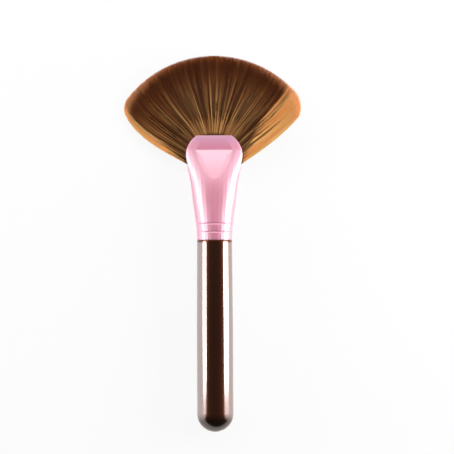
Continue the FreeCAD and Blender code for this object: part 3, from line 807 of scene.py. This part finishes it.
FLOOR_HALF = 3.0
FLOOR_GREY = (0.85, 0.85, 0.85, 1.0)
FLOOR_GLOW = 0.9
SKY_SIDEWAYS = (0.82, 0.97)  # how squarely to one side the sky begins to whiten, and is white
SKY_DIM = 0.01
SKY_WHITE = 1.0
SIDE_PANEL = {"distance": 0.45, "width": 0.28, "length": 0.36, "radiance": 9.0}
TIP_PANEL = {"distance": 0.7, "width": 0.4, "length": 1.1, "radiance": 3.1}
SIDE_PANEL_SHIFT = 0.12  # from the middle of the handle and the ferrule, towards the tips


def make_floor():
    """A white table top. Seen directly or in a reflection it is nearly all plain white."""
    corners = [(-FLOOR_HALF, -FLOOR_HALF, 0), (FLOOR_HALF, -FLOOR_HALF, 0),
               (FLOOR_HALF, FLOOR_HALF, 0), (-FLOOR_HALF, FLOOR_HALF, 0)]
    mesh = bpy.data.meshes.new("table_top")
    mesh.from_pydata(corners, [], [(0, 1, 2, 3)])
    floor = bpy.data.objects.new("table_top", mesh)
    bpy.context.scene.collection.objects.link(floor)
    n = Nodes(bpy.data.materials.new("table_white"))
    n.set(Base__Color=FLOOR_GREY, Roughness=0.9)
    path = n.add("ShaderNodeLightPath")
    seen = n.math("MAXIMUM", path.outputs["Is Camera Ray"], path.outputs["Is Glossy Ray"])
    seen = n.math("MAXIMUM", seen, path.outputs["Is Transmission Ray"])
    glow = n.add("ShaderNodeEmission")
    blend = n.add("ShaderNodeMixShader")
    n.put(blend.inputs[0], n.times(seen, FLOOR_GLOW))
    n.put(blend.inputs[1], n.shader.outputs[0])
    n.put(blend.inputs[2], glow.outputs[0])
    n.put(n.tree.nodes["Material Output"].inputs[0], blend.outputs[0])
    mesh.materials.append(n.owner)


def make_world():
    """A room that is white at both sides of the brush and dim above it and past its two ends.

    Seen directly, past the table's edge, it is all plain white.
    """
    n = Nodes(bpy.data.worlds.new("studio"))
    toward = n.add("ShaderNodeTexCoord").outputs["Generated"]
    sideways = n.math("ABSOLUTE", n.vector("DOT_PRODUCT", toward, brush.across))
    white = n.ramp(sideways, *SKY_SIDEWAYS, SKY_DIM, SKY_WHITE)
    path = n.add("ShaderNodeLightPath")
    background = n.tree.nodes["Background"]
    background.inputs[0].default_value = (1.0, 1.0, 1.0, 1.0)
    n.put(background.inputs[1], n.math("MAXIMUM", white, path.outputs["Is Camera Ray"]))
    bpy.context.scene.world = n.owner


def placed(spot, x_axis, y_axis, z_axis):
    """The matrix that stands something at a spot, along three axes."""
    return Matrix.Translation(spot) @ Matrix((x_axis, y_axis, z_axis)).transposed().to_4x4()


def softbox(name, aim, from_normal, turn, distance, width, length, radiance):
    """A soft light panel.

    It stands in the direction that leans from_normal away from the fan's normal, towards the
    side that turn gives (0 right, 90 tips, 180 left, 270 handle's end), and faces aim.
    """
    lean = math.radians(from_normal)
    heading = math.radians(turn)
    outward = brush.across * math.cos(heading) + Vector((0, 1, 0)) * math.sin(heading)
    direction = brush.normal * math.cos(lean) + outward * math.sin(lean)
    light = bpy.data.lights.new(name, "AREA")
    light.shape = "RECTANGLE"
    light.size = length
    light.size_y = width
    light.energy = radiance * math.pi * width * length
    panel = bpy.data.objects.new(name, light)
    bpy.context.scene.collection.objects.link(panel)
    upward = (brush.normal - direction * brush.normal.dot(direction)).normalized()
    panel.matrix_world = placed(aim + direction * distance, upward.cross(direction), upward, direction)
    panel.visible_camera = False


def make_lights():
    """Broad panels low on both sides, and a long one over the tips.

    The side panels stand past the tips, so their highlights fade before the handle's round end.
    """
    past_tips = brush.point(0, (brush.end_y - brush.rim_y) / 2 + SIDE_PANEL_SHIFT, 0)
    softbox("side_panel_right", past_tips, from_normal=78, turn=0, **SIDE_PANEL)
    softbox("side_panel_left", past_tips, from_normal=75, turn=180, **SIDE_PANEL)
    softbox("tip_panel", brush.point(0, 0, 0), from_normal=42, turn=90, **TIP_PANEL)


def make_camera():
    """The photograph's view: straight above the fan, with a long lens."""
    data = bpy.data.cameras.new("camera")
    data.sensor_width = SENSOR
    data.lens = SENSOR * CAMERA_DISTANCE / (PHOTO_PIXELS * PIXEL)
    data.clip_start = CAMERA_NEAR
    data.clip_end = CAMERA_FAR
    camera = bpy.data.objects.new("camera", data)
    bpy.context.scene.collection.objects.link(camera)
    middle = PHOTO_PIXELS / 2
    aim = brush.point((middle - AXIS_PIXEL) * PIXEL, 0, 0)
    aim.y = brush.end_y + (HANDLE_END_PIXEL - middle) * PIXEL
    up = Vector((0, 1, 0)) * math.cos(PHOTO_LEAN) + brush.across * math.sin(PHOTO_LEAN)
    camera.matrix_world = placed(aim + brush.normal * CAMERA_DISTANCE,
                                 up.cross(brush.normal), up, brush.normal)
    bpy.context.scene.camera = camera


def main():
    """Dresses the frame, lays the hair and sets up the studio."""
    dress("handle", lacquer_material())
    dress("ferrule", ferrule_material())
    dress("resin_plug", resin_material())
    make_hair()
    make_floor()
    make_world()
    make_lights()
    make_camera()
    bpy.context.scene.view_settings.view_transform = "Standard"


main()
